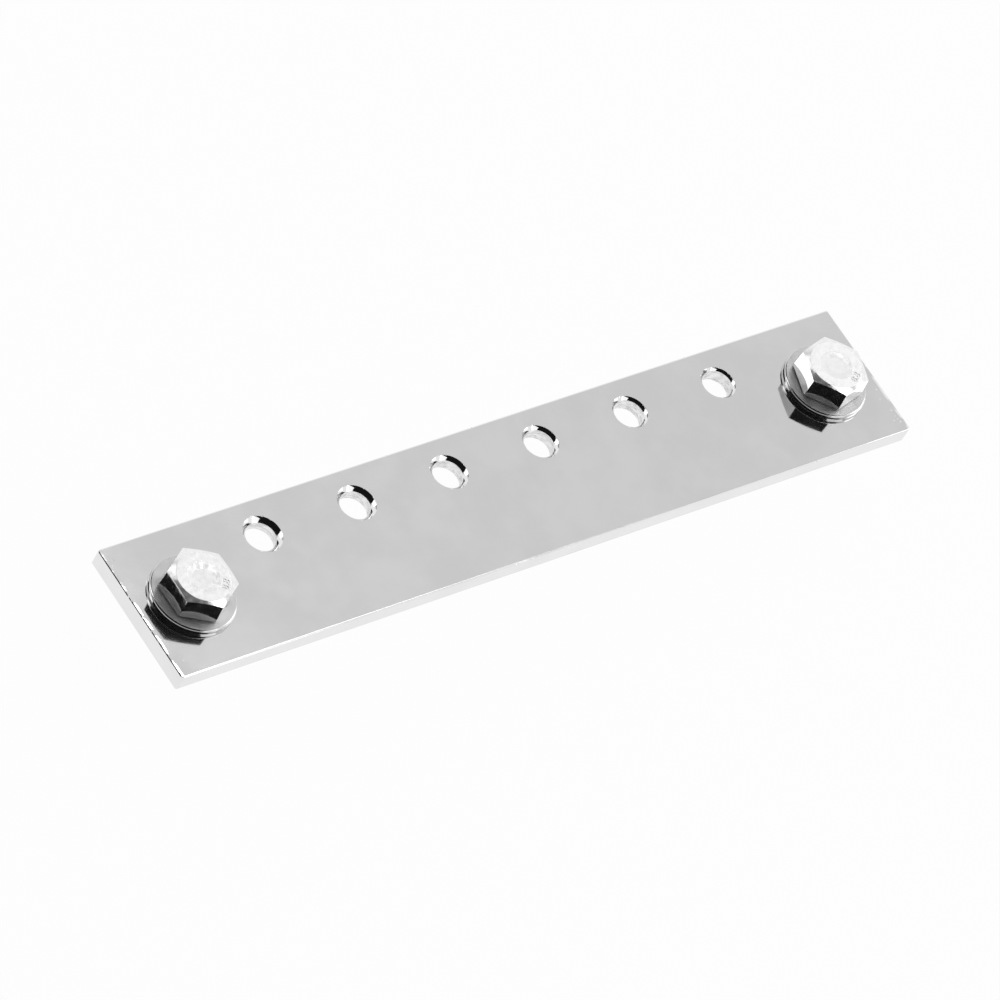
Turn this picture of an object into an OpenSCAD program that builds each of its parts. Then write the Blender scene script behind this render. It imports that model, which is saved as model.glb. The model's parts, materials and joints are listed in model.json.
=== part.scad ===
// Flat bus bar with a row of terminal holes along one edge and a hexagon bolt with a washer at each end.
// Millimetres. The origin is the centre of the bar's underside, +X runs along the bar, +Y points to the edge
// with the terminal holes and +Z points up through the bar to the bolt heads.

/* [Bar] */
// Length of the bar
bar_length = 240; // [220:1:400]
// Width of the bar
bar_width = 40; // [30:0.5:60]
// Thickness of the bar
bar_thickness = 5; // [3:0.5:10]
// Radius of the rounding along the bar's long edges
bar_edge_radius = 0.5; // [0.1:0.1:1.2]
// Chamfer along the edges of the bar's cut ends
bar_end_chamfer = 0.2; // [0.1:0.1:1]
// Radius of the bar's four corners seen from above
bar_corner_radius = 1; // [0.2:0.1:5]

/* [Terminal holes] */
// Number of terminal holes in the row
terminal_count = 6; // [1:1:7]
// Distance from one terminal hole to the next
terminal_pitch = 30; // [16:0.5:34]
// Diameter of a terminal hole
terminal_hole_d = 8.4; // [5:0.1:12]
// Distance from the row of terminal holes to the edge of the bar next to it
terminal_edge_distance = 10; // [8:0.5:20]
// Depth of the chamfer round each terminal hole, on both faces
terminal_chamfer = 1; // [0.1:0.1:1.2]

/* [Bolts] */
// Distance from the end of the bar to the bolt's axis
bolt_end_distance = 16; // [13:0.5:24]
// Nominal diameter of the bolt's thread
thread_d = 10; // [6:0.5:12]
// Length of the bolt below its head
bolt_length = 20; // [12:1:40]
// Depth of the chamfer on the bolt's tip
tip_chamfer = 0.9; // [0.2:0.1:2]
// Width of the head across its flats
head_flats = 16.5; // [14:0.5:20]
// Height of the head with its seat
head_height = 6.6; // [4:0.1:9]
// How far the flat top of the head stops inside the flats
head_top_inset = 1.1; // [0.1:0.1:1.5]
// Slope of the chamfer round the top of the head
head_chamfer_angle = 15; // [10:1:35]
// How far the round seat under the head stops inside the flats
head_seat_inset = 0.7; // [0.2:0.1:1.5]
// Height of the round seat under the head
head_seat_height = 0.4; // [0.2:0.1:0.8]
// Diameter of the shallow dish in the top of the head
head_dish_d = 9; // [4:0.5:11]
// Depth of the shallow dish in the top of the head
head_dish_depth = 0.15; // [0.05:0.05:0.6]
// Angle at which the left bolt came to rest
left_bolt_turn = 30.5; // [0:0.5:60]
// Angle at which the right bolt came to rest
right_bolt_turn = 13; // [0:0.5:60]
// Play of the bolt in its hole in the bar, across the diameter
bolt_hole_play = 1; // [0.4:0.1:2]
// Depth of the chamfer round each bolt hole, on both faces
bolt_hole_chamfer = 0.4; // [0.1:0.1:1]

/* [Washers] */
// Outer diameter of a washer
washer_d = 23; // [18:0.5:26]
// Thickness of a washer
washer_thickness = 2; // [1:0.1:3]
// Play of the bolt in the washer, across the diameter
washer_play = 0.5; // [0.2:0.1:1.5]
// Radius of the rolled-over upper rim of a washer
washer_rim_radius = 0.6; // [0.1:0.1:0.9]
// How far the torn lower part of a washer's wall stands in from its rim
washer_undercut = 0.4; // [0.1:0.1:0.8]
// Chamfer on the sharp edges of a washer
washer_chamfer = 0.15; // [0.05:0.05:0.3]

/* [Hidden] */

$fn = 96;
// Cutters run this far past the faces that they cut
overrun = 1;

terminal_row_y = bar_width / 2 - terminal_edge_distance;
terminal_row_length = (terminal_count - 1) * terminal_pitch;
bolt_x = bar_length / 2 - bolt_end_distance;
bolt_hole_d = thread_d + bolt_hole_play;
washer_bore_d = thread_d + washer_play;
head_seat_z = bar_thickness + washer_thickness;

bar_colour = "#c9cacb";
bolt_colour = "#dcdddd";
washer_colour = "#b9babb";

// Rectangle about the origin with rounded corners
module rounded_rectangle(length, width, radius) {
    square([length, width - 2 * radius], center = true);
    square([length - 2 * radius, width], center = true);
    for (x = [-1, 1], y = [-1, 1])
        translate([x * (length / 2 - radius), y * (width / 2 - radius)])
            circle(r = radius);
}

// Rectangle about the origin with chamfered corners
module chamfered_rectangle(length, width, chamfer) {
    x = length / 2;
    y = width / 2;
    polygon([
        [-x, chamfer - y],
        [chamfer - x, -y],
        [x - chamfer, -y],
        [x, chamfer - y],
        [x, y - chamfer],
        [x - chamfer, y],
        [chamfer - x, y],
        [-x, y - chamfer],
    ]);
}

// Bar with broken edges: the shape that its plan, its side and its end outlines share
module bar_blank() {
    intersection() {
        linear_extrude(height = bar_thickness)
            rounded_rectangle(bar_length, bar_width, bar_corner_radius);
        translate([0, 0, bar_thickness / 2])
            rotate([90, 0, 0])
                linear_extrude(height = bar_width, center = true)
                    chamfered_rectangle(bar_length, bar_thickness, bar_end_chamfer);
        translate([0, 0, bar_thickness / 2])
            rotate([90, 0, 90])
                linear_extrude(height = bar_length, center = true)
                    rounded_rectangle(bar_width, bar_thickness, bar_edge_radius);
    }
}

// Cutter for a hole through the bar with the same chamfer on both faces
module chamfered_hole(diameter, chamfer) {
    reach = chamfer + overrun;
    translate([0, 0, -overrun])
        cylinder(d = diameter, h = bar_thickness + 2 * overrun);
    translate([0, 0, bar_thickness - chamfer])
        cylinder(d1 = diameter, d2 = diameter + 2 * reach, h = reach);
    translate([0, 0, -overrun])
        cylinder(d1 = diameter + 2 * reach, d2 = diameter, h = reach);
}

module bar() {
    color(bar_colour)
        difference() {
            bar_blank();
            for (i = [0 : terminal_count - 1])
                translate([i * terminal_pitch - terminal_row_length / 2, terminal_row_y, 0])
                    chamfered_hole(terminal_hole_d, terminal_chamfer);
            for (side = [-1, 1])
                translate([side * bolt_x, 0, 0])
                    chamfered_hole(bolt_hole_d, bolt_hole_chamfer);
        }
}

// Stamped washer: its upper rim is rolled over and the wall below it tears inwards
module washer() {
    inner = washer_bore_d / 2;
    outer = washer_d / 2;
    foot = outer - washer_undercut;
    color(washer_colour)
        rotate_extrude()
            union() {
                polygon([
                    [inner + washer_chamfer, 0],
                    [foot - washer_chamfer, 0],
                    [foot, washer_chamfer],
                    [outer, washer_thickness - washer_rim_radius],
                    [outer - washer_rim_radius, washer_thickness],
                    [inner + washer_chamfer, washer_thickness],
                    [inner, washer_thickness - washer_chamfer],
                    [inner, washer_chamfer],
                ]);
                translate([outer - washer_rim_radius, washer_thickness - washer_rim_radius])
                    circle(r = washer_rim_radius);
            }
}

// Round outline that trims the hexagon: a flat top with a sloping chamfer
module head_trim() {
    top_r = head_flats / 2 - head_top_inset;
    reach = head_flats;
    rotate_extrude()
        polygon([
            [0, head_seat_height],
            [reach, head_seat_height],
            [reach, head_height - (reach - top_r) * tan(head_chamfer_angle)],
            [top_r, head_height],
            [0, head_height],
        ]);
}

// Hexagon head with its underside at the origin: the corners fall away where the chamfer meets the flats
module hexagon_head() {
    difference() {
        union() {
            intersection() {
                cylinder(d = head_flats / cos(30), h = head_height, $fn = 6);
                head_trim();
            }
            cylinder(d = head_flats - 2 * head_seat_inset, h = head_seat_height + head_height / 2);
        }
        translate([0, 0, head_height - head_dish_depth])
            cylinder(d1 = head_dish_d - 2 * head_dish_depth, d2 = head_dish_d + 2 * overrun,
                     h = head_dish_depth + overrun);
    }
}

// Bolt with the underside of its head at the origin and its shank pointing down
module hexagon_bolt() {
    color(bolt_colour) {
        hexagon_head();
        translate([0, 0, -bolt_length + tip_chamfer])
            cylinder(d = thread_d, h = bolt_length - tip_chamfer + head_height / 2);
        translate([0, 0, -bolt_length])
            cylinder(d1 = thread_d - 2 * tip_chamfer, d2 = thread_d, h = tip_chamfer);
    }
}

module left_washer() {
    translate([-bolt_x, 0, bar_thickness]) washer();
}

module right_washer() {
    translate([bolt_x, 0, bar_thickness]) washer();
}

module left_bolt() {
    translate([-bolt_x, 0, head_seat_z]) rotate(left_bolt_turn) hexagon_bolt();
}

module right_bolt() {
    translate([bolt_x, 0, head_seat_z]) rotate(right_bolt_turn) hexagon_bolt();
}

bar();
left_washer();
right_washer();
left_bolt();
right_bolt();
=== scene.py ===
"""A flat plated bus bar with two hexagon bolts on washers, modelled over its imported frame."""

import json
import math
import random
from contextlib import contextmanager

import bmesh
import bpy
from bpy.props import FloatProperty, FloatVectorProperty, IntProperty, PointerProperty, StringProperty
from mathutils import Matrix, Vector


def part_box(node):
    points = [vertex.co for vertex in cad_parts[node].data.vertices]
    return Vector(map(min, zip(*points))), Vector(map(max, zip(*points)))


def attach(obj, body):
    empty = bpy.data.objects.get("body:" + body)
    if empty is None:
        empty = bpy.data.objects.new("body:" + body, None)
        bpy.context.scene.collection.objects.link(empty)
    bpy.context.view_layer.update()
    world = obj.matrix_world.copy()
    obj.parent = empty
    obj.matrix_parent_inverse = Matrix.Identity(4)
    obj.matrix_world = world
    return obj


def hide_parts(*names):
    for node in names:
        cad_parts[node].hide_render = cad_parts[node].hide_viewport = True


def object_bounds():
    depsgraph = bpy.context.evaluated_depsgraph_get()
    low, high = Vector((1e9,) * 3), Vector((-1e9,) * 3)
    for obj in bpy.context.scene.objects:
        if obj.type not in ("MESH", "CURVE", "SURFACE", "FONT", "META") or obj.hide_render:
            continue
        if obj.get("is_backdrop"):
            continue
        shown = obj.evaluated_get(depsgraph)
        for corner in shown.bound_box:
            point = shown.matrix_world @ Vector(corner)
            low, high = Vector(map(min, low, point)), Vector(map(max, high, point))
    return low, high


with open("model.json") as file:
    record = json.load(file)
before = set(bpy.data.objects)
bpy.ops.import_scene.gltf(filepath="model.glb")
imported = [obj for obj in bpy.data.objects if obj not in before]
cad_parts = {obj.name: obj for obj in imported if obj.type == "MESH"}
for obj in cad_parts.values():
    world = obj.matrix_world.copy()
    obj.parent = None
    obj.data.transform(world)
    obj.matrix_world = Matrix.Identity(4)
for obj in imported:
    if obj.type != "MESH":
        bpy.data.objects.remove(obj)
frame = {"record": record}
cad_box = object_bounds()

bl_info = {
    "name": "Plated Bus Bar",
    "version": (1, 0, 0),
    "blender": (4, 5, 0),
    "location": "View3D > Sidebar > Bus Bar",
    "description": "Models a plated bus bar with its bolts and washers, and a pale studio around it",
    "category": "Object",
}

# Places and sizes from the frame
SIDES = ("left", "right")
BAR_LOW, BAR_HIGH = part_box("bar")
WASHER_LOW, WASHER_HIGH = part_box("left_washer")
BOLT_LOW, BOLT_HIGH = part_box("left_bolt")
MOUNTS = frame["record"]["mounts"]
TERMINALS = [mount for mount in MOUNTS if mount["name"].startswith("terminal_hole")]
FIXING = next(mount for mount in MOUNTS if mount["name"] == "fixing_bolts")
MILLIMETRE = 0.001
MICRON = 0.001 * MILLIMETRE
HALF_SPACING = FIXING["dims"]["spacing_x_mm"] / 2 * MILLIMETRE
BOLT_CENTRES = {"left": (-HALF_SPACING, 0.0), "right": (HALF_SPACING, 0.0)}
HEAD_HEIGHT = BOLT_HIGH.z - WASHER_HIGH.z
SHANK_LENGTH = WASHER_HIGH.z - BOLT_LOW.z

# Points closer than this count as level with each other
TOUCH = 0.01 * MILLIMETRE
# Sides of a round piece, and of one whose outline shows
ROUND_SIDES = 96
FINE_SIDES = 144


# Settings
class BarSettings(bpy.types.PropertyGroup):
    """Sizes and finish of the bar."""

    edge_radius: FloatProperty(
        name="Edge radius", description="Rounding of the long edges",
        default=0.5 * MILLIMETRE, min=0.0, unit="LENGTH")
    end_chamfer: FloatProperty(
        name="End chamfer", description="Flat chamfer along the edges of the cut ends",
        default=0.2 * MILLIMETRE, min=0.0, unit="LENGTH")
    corner_radius: FloatProperty(
        name="Corner radius", description="Rounding of the four upright corners",
        default=1.0 * MILLIMETRE, min=0.0, unit="LENGTH")
    first_chamfer: FloatProperty(
        name="First chamfer", description="Broken edge of the terminal hole on the left",
        default=1.2 * MILLIMETRE, min=0.0, unit="LENGTH")
    last_chamfer: FloatProperty(
        name="Last chamfer", description="Broken edge of the terminal hole on the right",
        default=0.65 * MILLIMETRE, min=0.0, unit="LENGTH")
    fixing_hole: FloatProperty(
        name="Fixing hole", description="Diameter of the hole that each bolt passes through",
        default=11.0 * MILLIMETRE, min=0.0, unit="LENGTH")
    fixing_chamfer: FloatProperty(
        name="Fixing chamfer", description="Broken edge of each fixing hole",
        default=0.4 * MILLIMETRE, min=0.0, unit="LENGTH")
    nick_count: IntProperty(
        name="Nicks", description="Small dents knocked into the edges", default=60, min=0)
    nick_size: FloatProperty(
        name="Nick size", description="Largest reach of one nick along an edge",
        default=0.9 * MILLIMETRE, min=0.0, unit="LENGTH")
    nick_depth: FloatProperty(
        name="Nick depth", description="How deep a nick goes",
        default=0.07 * MILLIMETRE, min=0.0, unit="LENGTH")
    rim_nick_count: IntProperty(
        name="Rim nicks", description="Small dents round the upper rim of each terminal hole",
        default=10, min=0)
    end_nick_count: IntProperty(
        name="End nicks", description="Shallow dents in the upper face near each end", default=16, min=0)
    colour: FloatVectorProperty(
        name="Plating", description="Colour of the bar's plating",
        default=(0.80, 0.80, 0.805), min=0.0, max=1.0, subtype="COLOR")
    roughness: FloatProperty(
        name="Roughness", description="How far the plating scatters a reflection",
        default=0.07, min=0.0, max=1.0, subtype="FACTOR")


class WasherSettings(bpy.types.PropertyGroup):
    """Sizes and finish of the washers."""

    bore: FloatProperty(
        name="Bore", description="Diameter of the hole in each washer",
        default=10.5 * MILLIMETRE, min=0.0, unit="LENGTH")
    rim_radius: FloatProperty(
        name="Rim radius", description="Rolled upper rim left by stamping",
        default=0.6 * MILLIMETRE, min=0.0, unit="LENGTH")
    land: FloatProperty(
        name="Land", description="Diameter of the flat ring that the bolt head presses on",
        default=17.0 * MILLIMETRE, min=0.0, unit="LENGTH")
    crown: FloatProperty(
        name="Crown", description="How far the upper face falls from the land to the rim",
        default=0.2 * MILLIMETRE, min=0.0, unit="LENGTH")
    undercut: FloatProperty(
        name="Undercut", description="How far the torn foot of the wall stands in from the rim",
        default=0.4 * MILLIMETRE, min=0.0, unit="LENGTH")
    tear_height: FloatProperty(
        name="Tear height", description="Height of the torn foot below the upright band of the wall",
        default=0.5 * MILLIMETRE, min=0.0, unit="LENGTH")
    edge_break: FloatProperty(
        name="Edge break", description="Broken edge of the bore and the lower rim",
        default=0.15 * MILLIMETRE, min=0.0, unit="LENGTH")
    colour: FloatVectorProperty(
        name="Plating", description="Colour of the washers' plating",
        default=(0.64, 0.64, 0.645), min=0.0, max=1.0, subtype="COLOR")
    roughness: FloatProperty(
        name="Roughness", description="How far the plating on the wall scatters a reflection",
        default=0.1, min=0.0, max=1.0, subtype="FACTOR")
    rim_roughness: FloatProperty(
        name="Rim roughness", description="How far the plating on the rolled rim scatters a reflection",
        default=0.15, min=0.0, max=1.0, subtype="FACTOR")
    face_roughness: FloatProperty(
        name="Face roughness", description="How far the plating on the upper face scatters a reflection",
        default=0.5, min=0.0, max=1.0, subtype="FACTOR")


class BoltSettings(bpy.types.PropertyGroup):
    """Sizes and finish of the bolts."""

    across_flats: FloatProperty(
        name="Across flats", description="Width of the hexagon head between opposite flats",
        default=16.5 * MILLIMETRE, min=0.0, unit="LENGTH")
    draft: FloatProperty(
        name="Draft", description="How far each flat leans in towards the top",
        default=math.radians(3), min=0.0, subtype="ANGLE")
    flat_edge: FloatProperty(
        name="Flat edge", description="Softening of the edges between the flats",
        default=0.15 * MILLIMETRE, min=0.0, unit="LENGTH")
    top_inset: FloatProperty(
        name="Top inset", description="How far the round top face stands in from the flats",
        default=1.1 * MILLIMETRE, min=0.0, unit="LENGTH")
    chamfer_angle: FloatProperty(
        name="Chamfer angle", description="Slope of the head's upper chamfer",
        default=math.radians(15), min=0.0, subtype="ANGLE")
    top_break: FloatProperty(
        name="Top break", description="Softening between the top face and the chamfer",
        default=0.12 * MILLIMETRE, min=0.0, unit="LENGTH")
    dish_diameter: FloatProperty(
        name="Dish diameter", description="Shallow round dish in the top face",
        default=9.0 * MILLIMETRE, min=0.0, unit="LENGTH")
    dish_depth: FloatProperty(
        name="Dish depth", description="Depth of the dish in the top face",
        default=0.15 * MILLIMETRE, min=0.0, unit="LENGTH")
    dish_slope: FloatProperty(
        name="Dish slope", description="Width of the slope from the top face down into the dish",
        default=2.1 * MILLIMETRE, min=0.0, unit="LENGTH")
    seat_inset: FloatProperty(
        name="Seat inset", description="How far the round seat under the head stands in from the flats",
        default=0.7 * MILLIMETRE, min=0.0, unit="LENGTH")
    seat_height: FloatProperty(
        name="Seat height", description="Height of the round seat under the head",
        default=0.4 * MILLIMETRE, min=0.0, unit="LENGTH")
    pitch: FloatProperty(
        name="Thread pitch", description="Distance from one thread crest to the next",
        default=1.5 * MILLIMETRE, min=0.0001, unit="LENGTH")
    tip_chamfer: FloatProperty(
        name="Tip chamfer", description="Chamfer at the end of the shank",
        default=0.9 * MILLIMETRE, min=0.0, unit="LENGTH")
    left_turn: FloatProperty(
        name="Left turn", description="Turn of the left head, from +X to its first corner",
        default=math.radians(30.5), subtype="ANGLE")
    right_turn: FloatProperty(
        name="Right turn", description="Turn of the right head, from +X to its first corner",
        default=math.radians(13), subtype="ANGLE")
    grade: StringProperty(
        name="Strength grade", description="Numerals stamped into the head", default="8.8")
    grade_height: FloatProperty(
        name="Numeral height", description="Height of the stamped numerals",
        default=1.9 * MILLIMETRE, min=0.0, unit="LENGTH")
    grade_depth: FloatProperty(
        name="Numeral depth", description="How deep the numerals are stamped",
        default=0.12 * MILLIMETRE, min=0.0, unit="LENGTH")
    grade_turn: FloatProperty(
        name="Numeral turn", description="Turn of the numerals round the head, from -Y",
        default=math.radians(18), subtype="ANGLE")
    colour: FloatVectorProperty(
        name="Plating", description="Colour of the bolts' plating",
        default=(0.86, 0.86, 0.86), min=0.0, max=1.0, subtype="COLOR")
    roughness: FloatProperty(
        name="Roughness", description="How far the plating on the flats scatters a reflection",
        default=0.08, min=0.0, max=1.0, subtype="FACTOR")
    chamfer_roughness: FloatProperty(
        name="Chamfer roughness",
        description="How far the plating on the head's chamfer scatters a reflection",
        default=0.14, min=0.0, max=1.0, subtype="FACTOR")
    top_roughness: FloatProperty(
        name="Top roughness", description="How far the forged top face scatters a reflection",
        default=0.55, min=0.0, max=1.0, subtype="FACTOR")
    slope_roughness: FloatProperty(
        name="Slope roughness", description="How far the slope round the dish scatters a reflection",
        default=0.4, min=0.0, max=1.0, subtype="FACTOR")


class StageSettings(bpy.types.PropertyGroup):
    """Camera, floor and light of the studio."""

    aim: FloatVectorProperty(
        name="Aim", description="Point that the camera looks at",
        default=(-6.62 * MILLIMETRE, -1.82 * MILLIMETRE, 5.0 * MILLIMETRE),
        subtype="TRANSLATION", unit="LENGTH")
    distance: FloatProperty(
        name="Distance", description="Distance from the camera to the point it looks at",
        default=2.181, min=0.1, unit="LENGTH")
    azimuth: FloatProperty(
        name="Azimuth", description="Turn of the view from +Y",
        default=math.radians(-60.154), subtype="ANGLE")
    elevation: FloatProperty(
        name="Elevation", description="Height of the camera above the horizon",
        default=math.radians(46.506), subtype="ANGLE")
    roll: FloatProperty(
        name="Roll", description="Turn of the camera about its own line of sight",
        default=math.radians(33.073), subtype="ANGLE")
    lens: FloatProperty(
        name="Lens", description="Focal length of the camera, in millimetres",
        default=314.44, min=1.0)
    floor_colour: FloatVectorProperty(
        name="Floor", description="Colour of the pale floor",
        default=(0.92, 0.92, 0.92), min=0.0, max=1.0, subtype="COLOR")
    floor_shade: FloatProperty(
        name="Floor shade", description="Share of the floor's tone that takes shadows",
        default=0.03, min=0.0, max=1.0, subtype="FACTOR")
    shade: FloatProperty(
        name="Shade", description="Brightness of the dark side behind the camera, and of the dark gap",
        default=0.008, min=0.0)
    shade_azimuth: FloatProperty(
        name="Shade azimuth", description="Direction of the middle of the dark side, from +X",
        default=math.radians(215), subtype="ANGLE")
    shade_reach: FloatProperty(
        name="Shade reach", description="Angle from the middle of the dark side to its edge",
        default=math.radians(87), subtype="ANGLE")
    shade_softness: FloatProperty(
        name="Shade softness", description="Angle over which the dark side fades out",
        default=math.radians(7), subtype="ANGLE")
    foot_tone: FloatProperty(
        name="Foot tone", description="Brightness of the foot of the dark side", default=0.4, min=0.0)
    foot_height: FloatProperty(
        name="Foot height", description="Height above the horizon at which the foot of the dark side ends",
        default=math.radians(19), subtype="ANGLE")
    foot_softness: FloatProperty(
        name="Foot softness", description="Angle over which the foot of the dark side fades out",
        default=math.radians(2), subtype="ANGLE")
    gap_azimuth: FloatProperty(
        name="Gap azimuth", description="Direction of the dark gap between the lamps on the left, from +X",
        default=math.radians(92), subtype="ANGLE")
    gap_elevation: FloatProperty(
        name="Gap elevation", description="Height of the dark gap above the horizon",
        default=math.radians(41), subtype="ANGLE")
    gap_reach: FloatProperty(
        name="Gap reach", description="Angle from the middle of the dark gap to its edge",
        default=math.radians(16.5), subtype="ANGLE")
    gap_softness: FloatProperty(
        name="Gap softness", description="Angle over which the dark gap fades out",
        default=math.radians(4), subtype="ANGLE")


# Modelling helpers
def clear_selection():
    bpy.ops.object.select_all(action="DESELECT")


def pick(piece):
    """Makes one object the only selected one, and the active one."""
    clear_selection()
    piece.select_set(True)
    bpy.context.view_layer.objects.active = piece


def named(name):
    """Names the object that was just added and puts its place into its mesh."""
    piece = bpy.context.object
    piece.name = piece.data.name = name
    settle(piece)
    return piece


def settle(piece):
    pick(piece)
    bpy.ops.object.transform_apply(location=True, rotation=True, scale=True)


@contextmanager
def editing(piece, kind):
    """Edit mode on one piece, with nothing selected; kind is VERT, EDGE or FACE."""
    pick(piece)
    bpy.ops.object.mode_set(mode="EDIT")
    bpy.ops.mesh.select_mode(type=kind)
    bpy.ops.mesh.select_all(action="DESELECT")
    yield
    bpy.ops.object.mode_set(mode="OBJECT")


def select(piece, kind, wanted):
    """Selects the verts, edges or faces for which wanted is true."""
    mesh = bmesh.from_edit_mesh(piece.data)
    bpy.ops.mesh.select_all(action="DESELECT")
    for item in getattr(mesh, kind):
        if wanted(item):
            item.select_set(True)
    bmesh.update_edit_mesh(piece.data)


def modify(piece, kind, **values):
    """Adds a modifier and applies it."""
    pick(piece)
    modifier = piece.modifiers.new(kind.lower(), kind)
    for name, value in values.items():
        setattr(modifier, name, value)
    bpy.ops.object.modifier_apply(modifier=modifier.name)


def combine(piece, tool, operation):
    """Cuts, joins or trims a piece with a tool, which is then deleted."""
    modify(piece, "BOOLEAN", object=tool, operation=operation, solver="MANIFOLD")
    pick(tool)
    bpy.ops.object.delete()


def join(pieces):
    clear_selection()
    for piece in pieces:
        piece.select_set(True)
    bpy.context.view_layer.objects.active = pieces[0]
    bpy.ops.object.join()
    return pieces[0]


def copy_of(piece, name):
    """A copy with its own mesh."""
    pick(piece)
    bpy.ops.object.duplicate(linked=False)
    piece = bpy.context.object
    piece.name = piece.data.name = name
    return piece


def cylinder(name, radius, low, high, centre=(0.0, 0.0), sides=ROUND_SIDES):
    """An upright cylinder between two heights."""
    clear_selection()
    bpy.ops.mesh.primitive_cylinder_add(
        vertices=sides, radius=radius, depth=high - low, location=(*centre, (low + high) / 2))
    return named(name)


def reach(point, centre=(0.0, 0.0)):
    """Distance of a point from an upright axis."""
    return math.hypot(point.x - centre[0], point.y - centre[1])


def looks(face, way):
    """True where a face looks straight up, with a way of 1, or straight down, with -1."""
    return face.normal.z * way > 0.9


def is_corner(edge, angle=math.radians(25)):
    """True where an edge's two faces meet at a clear angle."""
    return len(edge.link_faces) == 2 and edge.calc_face_angle() > angle


def merge_doubles(piece):
    """Merges the near doubles that the cuts leave, with the slivers between them."""
    with editing(piece, "VERT"):
        bpy.ops.mesh.select_all(action="SELECT")
        bpy.ops.mesh.remove_doubles(threshold=MICRON)
        bpy.ops.mesh.dissolve_degenerate(threshold=MICRON)


def smooth(piece, angle=math.radians(32)):
    """Shades rounded edges smoothly and keeps the broad faces flat."""
    pick(piece)
    bpy.ops.object.shade_smooth_by_angle(angle=angle)
    modify(piece, "WEIGHTED_NORMAL", weight=80, keep_sharp=True)


def hand_over(piece, node, slot, *materials):
    """Finishes a piece that stands for a node of the frame."""
    piece.data.materials.clear()
    for material in materials:
        piece.data.materials.append(material)
    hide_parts(node)
    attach(piece, "root")


# Material helpers
# Middle range of a noise, which is spread over the whole range of a tone
GRAIN_RANGE = (0.3, 0.7)


class Nodes:
    """Short ways to add and join the nodes of one tree."""

    def __init__(self, tree):
        self.tree = tree

    def add(self, kind, **values):
        """A new node; a value is a setting of the node, a socket's value or a link."""
        new = self.tree.nodes.new(kind)
        for name, value in values.items():
            if hasattr(new, name):
                setattr(new, name, value)
            else:
                self.feed(new.inputs[name.replace("_", " ")], value)
        return new

    def feed(self, socket, value):
        if isinstance(value, bpy.types.NodeSocket):
            self.tree.links.new(value, socket)
        else:
            socket.default_value = value

    def feed_all(self, node, *values):
        """Fills a node's sockets in their order."""
        for socket, value in zip(node.inputs, values):
            self.feed(socket, value)
        return node

    def maths(self, operation, *values):
        return self.feed_all(self.add("ShaderNodeMath", operation=operation), *values).outputs["Value"]

    def vector(self, operation, *values):
        return self.feed_all(self.add("ShaderNodeVectorMath", operation=operation), *values).outputs

    def spread(self, value, low, high, to_low=0.0, to_high=1.0):
        """Maps a value smoothly from one range to another."""
        mapper = self.add("ShaderNodeMapRange", interpolation_type="SMOOTHSTEP")
        return self.feed_all(mapper, value, low, high, to_low, to_high).outputs["Result"]

    def ramp(self, value, stops):
        """Grey tones at given places between nought and one."""
        scale = self.add("ShaderNodeValToRGB", Fac=value)
        places = scale.color_ramp.elements
        while len(places) < len(stops):
            places.new(0.5)
        for element, (place, tone) in zip(places, stops):
            element.position = place
            element.color = (tone, tone, tone, 1.0)
        return scale.outputs["Color"]

    def blend(self, amount, first, second):
        """Mixes two colours."""
        mixer = self.add("ShaderNodeMix", data_type="RGBA")
        colours = [socket for socket in mixer.inputs if socket.type == "RGBA"]
        self.feed(mixer.inputs["Factor"], amount)
        for socket, colour in zip(colours, (first, second)):
            self.feed(socket, colour)
        return next(socket for socket in mixer.outputs if socket.type == "RGBA")


class Surface(Nodes):
    """A material under construction."""

    def __init__(self, name):
        self.material = bpy.data.materials.new(name)
        self.material.use_nodes = True
        super().__init__(self.material.node_tree)
        self.shader = self.tree.nodes["Principled BSDF"]
        self.place = self.add("ShaderNodeTexCoord").outputs["Object"]

    def noise(self, scale, detail, stretch=(1.0, 1.0, 1.0)):
        """Cloudy grain on the object's own coordinates; scale is in grains per metre."""
        mapping = self.add("ShaderNodeMapping", Vector=self.place, Scale=stretch)
        grain = self.add(
            "ShaderNodeTexNoise", Vector=mapping.outputs["Vector"], Scale=scale, Detail=detail)
        return grain.outputs["Fac"]

    def bump(self, *reliefs):
        """Fine relief: the sum of heights that are each scaled to a depth in metres."""
        total = 0.0
        for height, depth in reliefs:
            total = self.maths("MULTIPLY_ADD", height, depth, total)
        relief = self.add("ShaderNodeBump", Strength=1.0, Distance=1.0, Height=total)
        self.feed(self.shader.inputs["Normal"], relief.outputs["Normal"])

    def plate(self, grain, colour, tones, roughness, scatter, contrast=GRAIN_RANGE):
        """Bare plating whose tone and roughness follow a grain, each between two shares."""
        dark, light = (tint(colour, share) for share in tones)
        smoother, rougher = (roughness * share for share in scatter)
        sockets = self.shader.inputs
        self.feed(sockets["Metallic"], 1.0)
        self.feed(sockets["Base Color"], self.blend(self.spread(grain, *contrast), dark, light))
        self.feed(sockets["Roughness"], self.spread(grain, *GRAIN_RANGE, smoother, rougher))


def tint(colour, share):
    """A colour made lighter or darker, with full opacity."""
    return tuple(min(1.0, part * share) for part in colour) + (1.0,)


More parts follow.
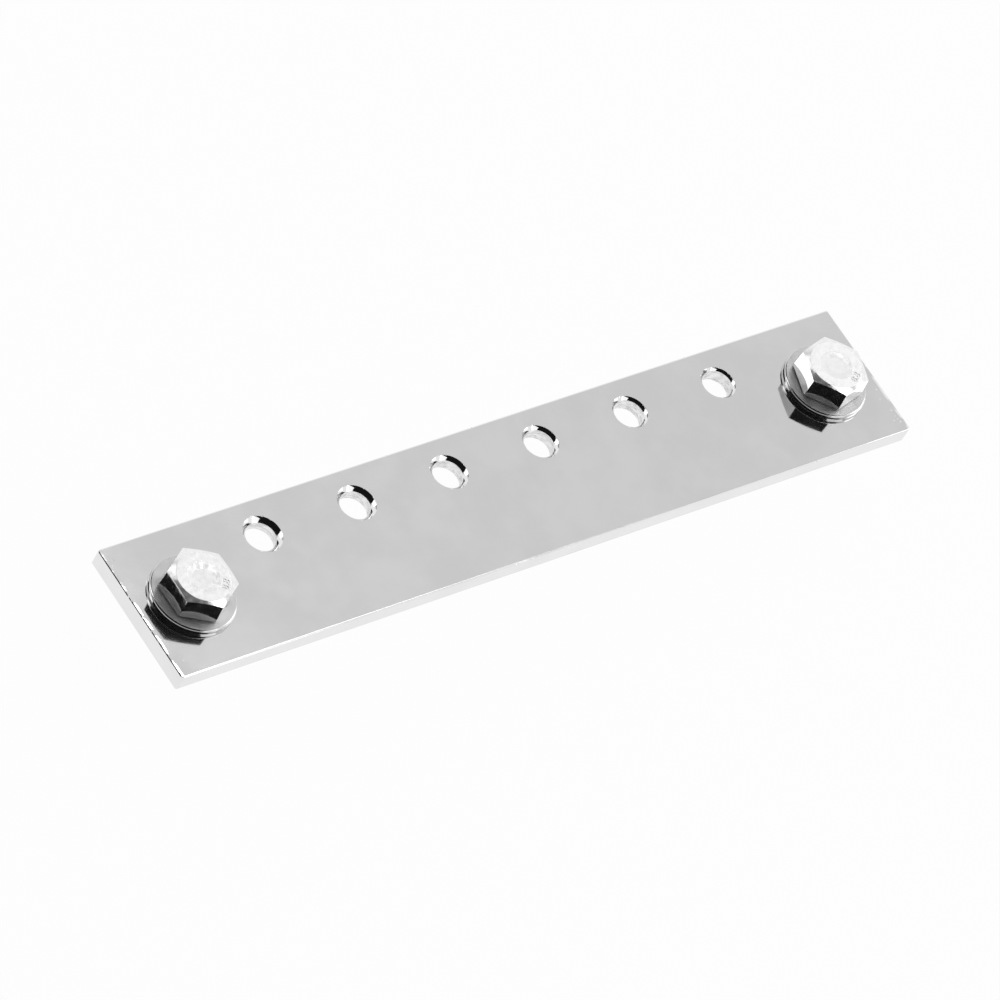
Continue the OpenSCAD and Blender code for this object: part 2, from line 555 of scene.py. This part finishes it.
def bar_plating(settings):
    """Bright plating over rolled metal: faint lines along the bar, and ends drawn down by the shears."""
    surface = Surface("bar_plating")
    lines = surface.noise(1400.0, detail=4.0, stretch=(0.03, 1.0, 1.0))
    clouds = surface.noise(90.0, detail=4.0)
    along, across, _ = surface.add("ShaderNodeSeparateXYZ", Vector=surface.place).outputs
    ends = surface.spread(
        surface.maths("ABSOLUTE", along), BAR_HIGH.x - MILLIMETRE, BAR_HIGH.x + MILLIMETRE)
    front = surface.spread(across, 12 * MILLIMETRE, -4 * MILLIMETRE, 0.2, 1.0)
    uneven = surface.spread(surface.noise(260.0, detail=4.0), 0.38, 0.62)
    fall = surface.maths("MULTIPLY", surface.maths("MULTIPLY", uneven, front), ends)
    surface.plate(clouds, settings.colour, (0.98, 1.02), settings.roughness, (0.7, 1.4))
    surface.bump((lines, 0.08 * MICRON), (fall, -190 * MICRON))
    return surface.material


def drilled_wall(settings):
    """Plating over the rings that the drill left in a hole."""
    surface = Surface("drilled_wall")
    rings = surface.spread(surface.noise(1500.0, detail=3.0, stretch=(0.15, 0.15, 1.0)), 0.5, 0.65)
    smears = surface.noise(700.0, detail=2.0)
    surface.plate(
        smears, settings.colour, (0.85, 1.05), settings.roughness, (1.2, 3.0), contrast=(0.35, 0.65))
    surface.bump((rings, 70 * MICRON), (smears, 90 * MICRON))
    return surface.material


def washer_plating(settings, name, roughness):
    """Tumbled bright plating with a soft mottle."""
    surface = Surface(name)
    tumble = surface.noise(700.0, detail=2.0)
    clouds = surface.noise(220.0, detail=3.0)
    surface.plate(clouds, settings.colour, (0.95, 1.03), roughness, (0.85, 1.2))
    surface.bump((tumble, 3 * MICRON))
    return surface.material


def bolt_plating(settings, name, roughness):
    """Bright plating on the flats, the chamfer and the thread."""
    surface = Surface(name)
    tumble = surface.noise(600.0, detail=4.0)
    surface.plate(tumble, settings.colour, (0.96, 1.03), roughness, (0.7, 1.5))
    surface.bump((tumble, 3 * MICRON))
    return surface.material


def bolt_top_plating(settings, name, share):
    """Satin plating on the forged top of the head, with its colour raised by a share above one as painted
    light.
    """
    surface = Surface(name)
    forged = surface.noise(900.0, detail=5.0)
    # A share above one paints the top lighter than the plating: painted light
    tones = (share * 0.96, share * 1.04)
    surface.plate(forged, settings.colour, tones, settings.top_roughness, (0.85, 1.15))
    surface.bump((forged, 8 * MICRON))
    return surface.material


# Bar
# Shares of a chamfer's depth that its equal steps outwards rise by
CHAMFER_CROWN = (0.42, 0.33, 0.25)
# Start of the random draws for the dents, and how far a dent may lean, in radians
DENT_SEED = 7
DENT_TILT = 0.3
# Lengths of the dents on edges, rims and ends, as shares of the nick size
EDGE_DENTS = (0.35, 1.0)
RIM_DENTS = (0.25, 0.6)
END_DENTS = (0.5, 1.2)
# Share of the edge dents that lie on the long edges, and share of each edge that they keep to
LONG_EDGES = 0.7
EDGE_RUN = 0.97
# Distances of the end dents from the cut end, in millimetres, and their depths as shares of the nick depth
END_BAND = (1.0, 3.5)
END_DEPTHS = (0.2, 0.5)
# Share of the bar's width that the end dents keep to
END_RUN = 0.95


def terminal_holes():
    """Centre and radius of each terminal hole."""
    return [(mount["pos_m"][:2], mount["dims"]["r_mm"] * MILLIMETRE) for mount in TERMINALS]


def terminal_chamfers(settings):
    """Size of each terminal hole's chamfer, which changes evenly along the row."""
    change = (settings.last_chamfer - settings.first_chamfer) / (len(TERMINALS) - 1)
    return [settings.first_chamfer + change * place for place in range(len(TERMINALS))]


def countersunk_drill(centre, radius, chamfer):
    """A cutter that drills a hole through the bar and breaks both of its rims with a crowned chamfer."""
    drill = cylinder("drill", radius, BAR_LOW.z + chamfer, BAR_HIGH.z - chamfer, centre)
    step = chamfer / len(CHAMFER_CROWN)
    with editing(drill, "FACE"):
        for way in (-1, 1):
            select(drill, "faces", lambda face: looks(face, way))
            wide = radius
            for rise in (*(chamfer * share for share in CHAMFER_CROWN), MILLIMETRE):
                bpy.ops.mesh.extrude_region_move(TRANSFORM_OT_translate={"value": (0.0, 0.0, rise * way)})
                bpy.ops.transform.resize(
                    value=(1 + step / wide, 1 + step / wide, 1.0), center_override=(*centre, 0.0))
                wide += step
    return drill


def broken_block(name, axis, offset, segments):
    """A block of the bar's size with its four edges along one axis broken."""
    clear_selection()
    bpy.ops.mesh.primitive_cube_add(
        size=1.0, location=(BAR_LOW + BAR_HIGH) / 2, scale=BAR_HIGH - BAR_LOW)
    block = named(name)
    with editing(block, "EDGE"):
        select(block, "edges", lambda edge: (
            abs(edge.verts[0].co[axis] - edge.verts[1].co[axis]) > MILLIMETRE))
        bpy.ops.mesh.bevel(offset=offset, segments=segments, affect="EDGES")
    return block


def edge_knocks(draw, settings):
    """Place, length and turn of each dent along the bar's outline."""
    half = (BAR_HIGH - BAR_LOW) / 2
    middle = (BAR_HIGH + BAR_LOW) / 2
    for _ in range(settings.nick_count):
        length = settings.nick_size * draw.uniform(*EDGE_DENTS)
        run = draw.uniform(-EDGE_RUN, EDGE_RUN)
        side = draw.choice((-1, 1))
        level = draw.choice((-1, 1))
        if draw.random() < LONG_EDGES:
            corner = Vector((run * half.x, side * half.y, level * half.z))
            turn = 0.0
            out = Vector((0.0, side, level)).normalized()
            broken = settings.edge_radius * (math.sqrt(2) - 1)
        else:
            corner = Vector((side * half.x, run * half.y, level * half.z))
            turn = math.pi / 2
            out = Vector((side, 0.0, level)).normalized()
            broken = settings.end_chamfer / math.sqrt(2)
        yield middle + corner + out * (length / 2 - broken - settings.nick_depth), length, turn


def rim_knocks(draw, settings):
    """Place, length and turn of each dent round the upper rims of the terminal holes."""
    for (centre, radius), chamfer in zip(terminal_holes(), terminal_chamfers(settings)):
        for _ in range(settings.rim_nick_count):
            length = settings.nick_size * draw.uniform(*RIM_DENTS)
            angle = draw.uniform(0.0, 2 * math.pi)
            rim = radius + chamfer
            place = Vector((
                centre[0] + rim * math.cos(angle), centre[1] + rim * math.sin(angle),
                BAR_HIGH.z + length / 2 - settings.nick_depth))
            yield place, length, angle + math.pi / 2


def end_knocks(draw, settings):
    """Place, length and turn of each shallow dent in the upper face near the cut ends."""
    for side in (-1, 1):
        for _ in range(settings.end_nick_count):
            length = settings.nick_size * draw.uniform(*END_DENTS)
            place = Vector((
                side * (BAR_HIGH.x - draw.uniform(*END_BAND) * MILLIMETRE),
                draw.uniform(-END_RUN, END_RUN) * BAR_HIGH.y,
                BAR_HIGH.z + length / 2 - settings.nick_depth * draw.uniform(*END_DEPTHS)))
            yield place, length, draw.uniform(0.0, math.pi)


def knock_dents(bar, settings):
    """Knocks small dents into the edges, the rims and the ends."""
    draw = random.Random(DENT_SEED)
    knocks = (*edge_knocks(draw, settings), *rim_knocks(draw, settings), *end_knocks(draw, settings))
    for place, length, turn in knocks:
        tilts = [draw.uniform(-DENT_TILT, DENT_TILT) for _ in range(3)]
        clear_selection()
        bpy.ops.mesh.primitive_ico_sphere_add(
            subdivisions=2, radius=1.0, location=place, scale=(length, length / 2, length / 2),
            rotation=(tilts[0], tilts[1], turn + tilts[2]))
        combine(bar, named("dent"), "DIFFERENCE")


def mark_walls(bar):
    """Gives the walls of the terminal holes their own finish."""
    upright = 0.5
    margin = 0.1 * MILLIMETRE
    for face in bar.data.polygons:
        if abs(face.normal.z) < upright:
            face.material_index = int(any(
                reach(face.center, centre) < radius + margin for centre, radius in terminal_holes()))


class BUSBAR_OT_bar(bpy.types.Operator):
    """Models the drilled and rounded bar"""

    bl_idname = "busbar.bar"
    bl_label = "Bar"

    def execute(self, context):
        settings = context.scene.busbar_bar
        bar = broken_block("drilled_bar", axis=0, offset=settings.edge_radius, segments=6)
        ends = broken_block("cut_ends", axis=1, offset=settings.end_chamfer, segments=1)
        combine(bar, ends, "INTERSECT")
        plan = broken_block("plan", axis=2, offset=settings.corner_radius, segments=8)
        combine(bar, plan, "INTERSECT")
        drills = [
            countersunk_drill(*hole, chamfer)
            for hole, chamfer in zip(terminal_holes(), terminal_chamfers(settings))]
        drills += [
            countersunk_drill(BOLT_CENTRES[side], settings.fixing_hole / 2, settings.fixing_chamfer)
            for side in SIDES]
        combine(bar, join(drills), "DIFFERENCE")
        knock_dents(bar, settings)
        merge_doubles(bar)
        smooth(bar)
        hand_over(bar, "bar", "plated_bar", bar_plating(settings), drilled_wall(settings))
        mark_walls(bar)
        return {"FINISHED"}


# Washers
# Rise of the normals at which a washer's wall turns into its rim, and the rim into its upper face
RIM_START = 0.1
RIM_END = 0.97


def model_washer(settings):
    """One washer about the origin, its underside at zero height."""
    radius = (WASHER_HIGH.x - WASHER_LOW.x) / 2
    thickness = WASHER_HIGH.z - WASHER_LOW.z
    waist = thickness - settings.crown - settings.rim_radius - TOUCH
    washer = cylinder("stamped_washer", radius, 0.0, settings.tear_height, sides=FINE_SIDES)
    with editing(washer, "FACE"):
        select(washer, "faces", lambda face: looks(face, 1))
        for rise in (waist - settings.tear_height, thickness - waist):
            bpy.ops.mesh.extrude_region_move(TRANSFORM_OT_translate={"value": (0.0, 0.0, rise)})
        bpy.ops.mesh.inset(thickness=radius - settings.land / 2)
        bpy.ops.mesh.inset(thickness=(settings.land - settings.bore) / 2)
        select(washer, "faces", lambda face: looks(face, -1))
        bpy.ops.mesh.inset(thickness=radius - settings.bore / 2)
        select(washer, "faces", lambda face: (
            (looks(face, 1) or looks(face, -1)) and reach(face.calc_center_median()) < TOUCH))
        bpy.ops.mesh.bridge_edge_loops()
    inward = 1 - settings.undercut / radius
    with editing(washer, "VERT"):
        select(washer, "verts", lambda vert: (
            reach(vert.co) > radius - TOUCH and vert.co.z > thickness - TOUCH))
        bpy.ops.transform.translate(value=(0.0, 0.0, -settings.crown))
        select(washer, "verts", lambda vert: reach(vert.co) > radius - TOUCH and vert.co.z < TOUCH)
        bpy.ops.transform.resize(value=(inward, inward, 1.0), center_override=(0.0, 0.0, 0.0))
    with editing(washer, "EDGE"):
        select(washer, "edges", lambda edge: is_corner(edge) and all(
            reach(end.co) > radius - TOUCH and end.co.z > waist + TOUCH for end in edge.verts))
        bpy.ops.mesh.bevel(offset=settings.rim_radius, segments=6, affect="EDGES")
        select(washer, "edges", lambda edge: is_corner(edge, angle=math.radians(60)))
        bpy.ops.mesh.bevel(offset=settings.edge_break, segments=2, affect="EDGES")
        bpy.ops.mesh.select_all(action="SELECT")
        bpy.ops.mesh.normals_make_consistent(inside=False)
    smooth(washer)
    return washer


class BUSBAR_OT_washers(bpy.types.Operator):
    """Models one stamped washer and sets a copy under each bolt head"""

    bl_idname = "busbar.washers"
    bl_label = "Washers"

    def execute(self, context):
        settings = context.scene.busbar_washer
        wall = washer_plating(settings, "washer_wall_plating", settings.roughness)
        rim = washer_plating(settings, "washer_rim_plating", settings.rim_roughness)
        upper = washer_plating(settings, "washer_face_plating", settings.face_roughness)
        master = model_washer(settings)
        for side in SIDES:
            washer = copy_of(master, f"{side}_stamped_washer")
            washer.location = (*BOLT_CENTRES[side], WASHER_LOW.z)
            settle(washer)
            hand_over(washer, f"{side}_washer", "plated_washer", wall, rim, upper)
            for face in washer.data.polygons:
                face.material_index = int(face.normal.z > RIM_START) + int(face.normal.z > RIM_END)
        pick(master)
        bpy.ops.object.delete()
        return {"FINISHED"}


# Bolts
# Shares of the dish's depth that its equal steps inwards fall by
DISH_FALL = (0.2, 0.6, 0.2)
# Depth of the thread and widths of its ridge at foot and crest, in pitches, and the steps of one turn
THREAD_DEPTH = 0.61
RIDGE_FOOT = 7 / 8
RIDGE_CREST = 1 / 8
THREAD_STEPS = 48
# Size of the type for each unit of its numerals' height
TYPE_SIZE = 1.4
# Places of a bolt's finishes after the first, which its flats and shank keep
CHAMFER, TOP, DISH, SLOPE = range(1, 5)
# Rise of the normals from which a face counts as the head's upper side, and as top instead of chamfer
UPPER_RISE = 0.8
TOP_RISE = 0.98
# Brightness of the forged top and of its dish, as shares of the plating's colour: painted light that makes
# the top lighter than the flats, and the dish a little less light than the top
TOP_PAINTED_LIGHT = 1.15
DISH_PAINTED_LIGHT = 1.08


def model_shank(settings):
    """A threaded shank below the origin: a coiled ridge on a core, trimmed to a chamfered tip."""
    play = 0.03 * MILLIMETRE
    overlap = 0.1 * MILLIMETRE
    trim = 0.02 * MILLIMETRE
    bite = 0.8 * MILLIMETRE
    crest = FIXING["dims"]["stud_r_mm"] * MILLIMETRE - play
    depth = THREAD_DEPTH * settings.pitch
    root = crest - depth
    turns = math.ceil(SHANK_LENGTH / settings.pitch)
    start = -(turns + 0.5) * settings.pitch
    clear_selection()
    bpy.ops.mesh.primitive_plane_add(
        size=1.0, location=(crest - (depth + overlap) / 2, 0.0, start), rotation=(math.pi / 2, 0.0, 0.0))
    bpy.context.object.scale = (depth + overlap, settings.pitch * RIDGE_FOOT, 1.0)
    ridge = named("thread_ridge")
    with editing(ridge, "VERT"):
        select(ridge, "verts", lambda vert: vert.co.x > crest - depth / 2)
        bpy.ops.transform.resize(
            value=(1.0, 1.0, RIDGE_CREST / RIDGE_FOOT), center_override=(crest, 0.0, start))
        bpy.ops.mesh.select_all(action="SELECT")
        bpy.ops.mesh.delete(type="ONLY_FACE")
    modify(
        ridge, "SCREW", axis="Z", screw_offset=settings.pitch, iterations=turns,
        steps=THREAD_STEPS, render_steps=THREAD_STEPS, use_merge_vertices=False)
    with editing(ridge, "EDGE"):
        bpy.ops.mesh.select_all(action="SELECT")
        bpy.ops.mesh.fill_holes(sides=4)
        bpy.ops.mesh.select_all(action="SELECT")
        bpy.ops.mesh.normals_make_consistent(inside=False)
    shank = cylinder("threaded_shank", root, -SHANK_LENGTH - MILLIMETRE, MILLIMETRE, sides=THREAD_STEPS)
    combine(shank, ridge, "UNION")
    sleeve = cylinder("sleeve", crest + trim, -SHANK_LENGTH, bite)
    with editing(sleeve, "EDGE"):
        select(sleeve, "edges", lambda edge: all(end.co.z < -SHANK_LENGTH + MICRON for end in edge.verts))
        bpy.ops.mesh.bevel(offset=settings.tip_chamfer, segments=1, affect="EDGES")
    combine(shank, sleeve, "INTERSECT")
    return shank


def model_head(settings):
    """A forged hexagon head standing on its round seat at zero height, a corner on +X."""
    flat = settings.across_flats / 2
    top = flat - settings.top_inset
    level = 0.999
    clear_selection()
    bpy.ops.mesh.primitive_cone_add(
        vertices=FINE_SIDES, radius1=top + 2 * HEAD_HEIGHT / math.tan(settings.chamfer_angle),
        radius2=top, depth=2 * HEAD_HEIGHT)
    cone = named("chamfered_top")
    with editing(cone, "EDGE"):
        select(cone, "edges", lambda edge: all(end.co.z > HEAD_HEIGHT - MICRON for end in edge.verts))
        bpy.ops.mesh.bevel(offset=settings.top_break, segments=2, affect="EDGES")
    with editing(cone, "FACE"):
        select(cone, "faces", lambda face: face.normal.z > level)
        bpy.ops.mesh.inset(thickness=top - settings.top_break - settings.dish_diameter / 2)
        for share in DISH_FALL:
            bpy.ops.mesh.inset(
                thickness=settings.dish_slope / len(DISH_FALL), depth=-settings.dish_depth * share)
    clear_selection()
    lean = HEAD_HEIGHT / 2 * math.tan(settings.draft)
    half_side = math.pi / 6
    bpy.ops.mesh.primitive_cone_add(
        vertices=6, depth=HEAD_HEIGHT,
        radius1=(flat + lean) / math.cos(half_side), radius2=(flat - lean) / math.cos(half_side),
        location=(0.0, 0.0, settings.seat_height + HEAD_HEIGHT / 2), rotation=(0.0, 0.0, half_side))
    head = named("hexagon_head")
    with editing(head, "EDGE"):
        select(head, "edges", lambda edge: abs(edge.verts[0].co.z - edge.verts[1].co.z) > MILLIMETRE)
        bpy.ops.mesh.bevel(offset=settings.flat_edge, segments=2, affect="EDGES")
    combine(head, cone, "INTERSECT")
    seat = cylinder("seat", flat - settings.seat_inset, 0.0, settings.seat_height + MILLIMETRE)
    combine(head, seat, "UNION")
    return head


def stamp_numerals(head, settings):
    """Stamps the strength grade into the ring round the dish."""
    ring = (settings.dish_diameter / 2 + settings.across_flats / 2 - settings.top_inset) / 2
    clear_selection()
    bpy.ops.object.text_add(location=(0.0, 0.0, 0.0))
    numerals = bpy.context.object
    numerals.data.body = settings.grade
    numerals.data.size = settings.grade_height * TYPE_SIZE
    numerals.data.align_x = "CENTER"
    numerals.data.align_y = "CENTER"
    numerals.data.extrude = settings.grade_depth
    pick(numerals)
    bpy.ops.object.convert(target="MESH")
    numerals = bpy.context.object
    numerals.matrix_world = (
        Matrix.Rotation(settings.grade_turn, 4, "Z") @ Matrix.Translation((0.0, -ring, HEAD_HEIGHT)))
    settle(numerals)
    with editing(numerals, "VERT"):
        bpy.ops.mesh.select_all(action="SELECT")
        bpy.ops.mesh.remove_doubles(threshold=MICRON)
        bpy.ops.mesh.normals_make_consistent(inside=False)
    combine(head, numerals, "DIFFERENCE")


def mark_top(bolt, settings):
    """Gives the chamfer, the top of the head, its dish and the slope round that their own finish."""
    for face in bolt.data.polygons:
        if face.normal.z > UPPER_RISE and face.center.z > HEAD_HEIGHT / 2:
            inside = settings.dish_diameter / 2 - reach(face.center)
            if inside > 0.0:
                face.material_index = DISH if inside > settings.dish_slope else SLOPE
            else:
                face.material_index = TOP if face.normal.z > TOP_RISE else CHAMFER


class BUSBAR_OT_bolts(bpy.types.Operator):
    """Models one hexagon bolt and sets a turned copy at each end"""

    bl_idname = "busbar.bolts"
    bl_label = "Bolts"

    def execute(self, context):
        settings = context.scene.busbar_bolt
        flats = bolt_plating(settings, "bolt_plating", settings.roughness)
        chamfer = bolt_plating(settings, "bolt_chamfer_plating", settings.chamfer_roughness)
        # The top and the dish get plating painted lighter than the flats: painted light
        top = bolt_top_plating(settings, "bolt_top_plating", TOP_PAINTED_LIGHT)
        dish = bolt_top_plating(settings, "bolt_dish_plating", DISH_PAINTED_LIGHT)
        slope = bolt_plating(settings, "bolt_slope_plating", settings.slope_roughness)
        master = model_head(settings)
        stamp_numerals(master, settings)
        combine(master, model_shank(settings), "UNION")
        merge_doubles(master)
        smooth(master, angle=math.radians(24))
        turns = {"left": settings.left_turn, "right": settings.right_turn}
        for side in SIDES:
            bolt = copy_of(master, f"{side}_hexagon_bolt")
            hand_over(bolt, f"{side}_bolt", "plated_bolt", flats, chamfer, top, dish, slope)
            mark_top(bolt, settings)
            bolt.matrix_world = (
                Matrix.Translation((*BOLT_CENTRES[side], WASHER_HIGH.z))
                @ Matrix.Rotation(turns[side], 4, "Z"))
            settle(bolt)
        pick(master)
        bpy.ops.object.delete()
        return {"FINISHED"}


# Stage
# Brightness of the walls by the sine of the height above the horizon
WALL_TONES = (
    (0.0, 1.0), (0.62, 1.0), (0.69, 0.72), (0.76, 0.74),
    (0.80, 0.52), (0.93, 0.12), (0.98, 0.1), (0.992, 0.45))
# Name, azimuth from +X and elevation in degrees, width, height, brightness and distance of each lamp
LAMPS = (
    ("strip_light", 15, 60, 1.9, 0.6, 2.5, 3.0),
    ("fill_light", 65, 55, 0.62, 0.74, 0.92, 3.0),
    ("left_light", 124, 34, 0.46, 0.62, 1.3, 1.3),
    ("right_light", 343, 28, 0.7, 0.7, 1.4, 1.3),
    ("front_light", 287, 26, 0.75, 0.75, 1.2, 1.3),
)
FLOOR_SIZE = 12.0


def direction(azimuth, elevation):
    """Unit vector at an azimuth from +X and a height above the horizon."""
    level = math.cos(elevation)
    return Vector((level * math.cos(azimuth), level * math.sin(azimuth), math.sin(elevation)))


def set_camera(settings):
    """Stands the camera at the photograph's angle."""
    aim = Vector(settings.aim)
    sight = direction(settings.azimuth + math.pi / 2, -settings.elevation)
    clear_selection()
    bpy.ops.object.camera_add(location=aim - sight * settings.distance)
    camera = bpy.context.object
    camera.name = "studio_camera"
    turn = sight.to_track_quat("-Z", "Y").to_matrix().to_4x4() @ Matrix.Rotation(settings.roll, 4, "Z")
    camera.rotation_euler = turn.to_euler()
    camera.data.lens = settings.lens
    camera.data.sensor_width = 36.0
    bpy.context.scene.camera = camera


def soft_box(name, azimuth, elevation, width, height, brightness, distance):
    """An oblong soft light that faces the bar; brightness is what a mirror would show."""
    away = direction(math.radians(azimuth), math.radians(elevation))
    clear_selection()
    bpy.ops.object.light_add(type="AREA", location=away * distance)
    light = bpy.context.object
    light.name = name
    light.rotation_euler = (-away).to_track_quat("-Z", "Y").to_euler()
    light.data.shape = "RECTANGLE"
    light.data.size = width
    light.data.size_y = height
    light.data.energy = brightness * math.pi * width * height
    light.visible_camera = False


def lay_floor(settings):
    """A broad pale floor under the bolt tips, white to the camera and to bright metal."""
    clear_selection()
    bpy.ops.mesh.primitive_plane_add(size=FLOOR_SIZE, location=(0.0, 0.0, cad_box[0].z))
    floor = named("studio_floor")
    floor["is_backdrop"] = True
    surface = Surface("floor_white")
    tree = surface.tree
    tree.nodes.remove(surface.shader)
    ray = surface.add("ShaderNodeLightPath").outputs
    seen = surface.maths("MAXIMUM", ray["Is Camera Ray"], ray["Is Glossy Ray"])
    seen = surface.maths("MAXIMUM", seen, ray["Is Transmission Ray"])
    matte = surface.add("ShaderNodeBsdfDiffuse", Color=tint(settings.floor_colour, 1.0))
    white = surface.add("ShaderNodeEmission", Color=(1.0, 1.0, 1.0, 1.0), Strength=1.0)
    share = surface.maths("MULTIPLY", seen, 1.0 - settings.floor_shade)
    mixer = surface.feed_all(
        surface.add("ShaderNodeMixShader"), share, matte.outputs[0], white.outputs[0])
    output = next(node for node in tree.nodes if node.type == "OUTPUT_MATERIAL")
    surface.feed(output.inputs["Surface"], mixer.outputs[0])
    floor.data.materials.append(surface.material)


def paint_walls(settings):
    """Studio walls: bright low down, dark overhead and behind the camera, with a dark gap on the left."""
    world = bpy.data.worlds.new("studio_walls")
    bpy.context.scene.world = world
    world.use_nodes = True
    nodes = Nodes(world.node_tree)
    place = nodes.add("ShaderNodeTexCoord").outputs["Generated"]
    height = nodes.add("ShaderNodeSeparateXYZ", Vector=place).outputs["Z"]
    bright = nodes.ramp(height, WALL_TONES)
    level = nodes.vector("NORMALIZE", nodes.vector("MULTIPLY", place, (1.0, 1.0, 0.0))["Vector"])["Vector"]
    gap = direction(settings.gap_azimuth, settings.gap_elevation)
    side = direction(settings.shade_azimuth, 0.0)
    side_tone = nodes.spread(
        height, math.sin(settings.foot_height - settings.foot_softness),
        math.sin(settings.foot_height + settings.foot_softness), settings.foot_tone, settings.shade)
    gap_tone = (settings.shade, settings.shade, settings.shade, 1.0)
    tone = bright
    for sight, middle, edge, softness, dark in (
            (level, side, settings.shade_reach, settings.shade_softness, side_tone),
            (place, gap, settings.gap_reach, settings.gap_softness, gap_tone)):
        facing = nodes.vector("DOT_PRODUCT", sight, middle)["Value"]
        amount = nodes.spread(facing, math.cos(edge + softness), math.cos(edge - softness))
        tone = nodes.blend(amount, tone, dark)
    ray = nodes.add("ShaderNodeLightPath").outputs["Is Camera Ray"]
    background = nodes.tree.nodes["Background"]
    nodes.feed(background.inputs["Color"], nodes.blend(ray, tone, (1.0, 1.0, 1.0, 1.0)))
    background.inputs["Strength"].default_value = 1.0


class BUSBAR_OT_stage(bpy.types.Operator):
    """Sets the camera, the pale floor and the soft studio light"""

    bl_idname = "busbar.stage"
    bl_label = "Stage"

    def execute(self, context):
        settings = context.scene.busbar_stage
        set_camera(settings)
        lay_floor(settings)
        paint_walls(settings)
        for lamp in LAMPS:
            soft_box(*lamp)
        context.scene.view_settings.view_transform = "Standard"
        return {"FINISHED"}


# Panel and registration
class BUSBAR_PT_panel(bpy.types.Panel):
    """Lists the steps and their settings"""

    bl_idname = "BUSBAR_PT_panel"
    bl_label = "Bus Bar"
    bl_space_type = "VIEW_3D"
    bl_region_type = "UI"
    bl_category = "Bus Bar"

    def draw(self, context):
        for operator, group in STEPS:
            settings = getattr(context.scene, group)
            box = self.layout.box()
            box.operator(operator.bl_idname)
            for name in settings.__annotations__:
                box.prop(settings, name)


GROUPS = {
    "busbar_bar": BarSettings,
    "busbar_washer": WasherSettings,
    "busbar_bolt": BoltSettings,
    "busbar_stage": StageSettings,
}
STEPS = (
    (BUSBAR_OT_bar, "busbar_bar"),
    (BUSBAR_OT_washers, "busbar_washer"),
    (BUSBAR_OT_bolts, "busbar_bolt"),
    (BUSBAR_OT_stage, "busbar_stage"),
)
CLASSES = (*GROUPS.values(), *(operator for operator, _ in STEPS), BUSBAR_PT_panel)


def register():
    for kind in CLASSES:
        bpy.utils.register_class(kind)
    for name, group in GROUPS.items():
        setattr(bpy.types.Scene, name, PointerProperty(type=group))


def unregister():
    for name in GROUPS:
        delattr(bpy.types.Scene, name)
    for kind in reversed(CLASSES):
        bpy.utils.unregister_class(kind)


def main():
    register()
    bpy.ops.busbar.bar()
    bpy.ops.busbar.washers()
    bpy.ops.busbar.bolts()
    bpy.ops.busbar.stage()
    boxes = {"cad": cad_box, "visual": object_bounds()}
    {name: [list(corner) for corner in box] for name, box in boxes.items()}


if __name__ == "__main__":
    main()
